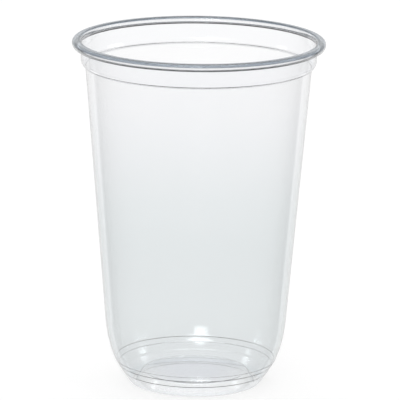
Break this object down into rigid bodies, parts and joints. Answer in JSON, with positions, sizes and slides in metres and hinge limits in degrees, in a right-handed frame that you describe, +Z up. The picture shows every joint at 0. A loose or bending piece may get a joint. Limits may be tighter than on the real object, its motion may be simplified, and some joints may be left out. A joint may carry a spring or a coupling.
{
  "type": "disposable plastic cup",
  "caption": "Clear thin-walled plastic drinking cup with a rolled rim, a stacking ledge, a tapered side wall and a rounded foot.",
  "frame": {"origin": "middle of the foot ring, on the plane that the cup stands on", "axes": "+Z up along the cup's axis, towards the mouth; the cup is round, so +X and +Y are free"},
  "size_m": [0.095, 0.095, 0.132],
  "materials": {
    "clear_plastic": "clear and glossy"
  },
  "bodies": {
    "root": {"cup": "clear_plastic"}
  },
  "joints": []
}
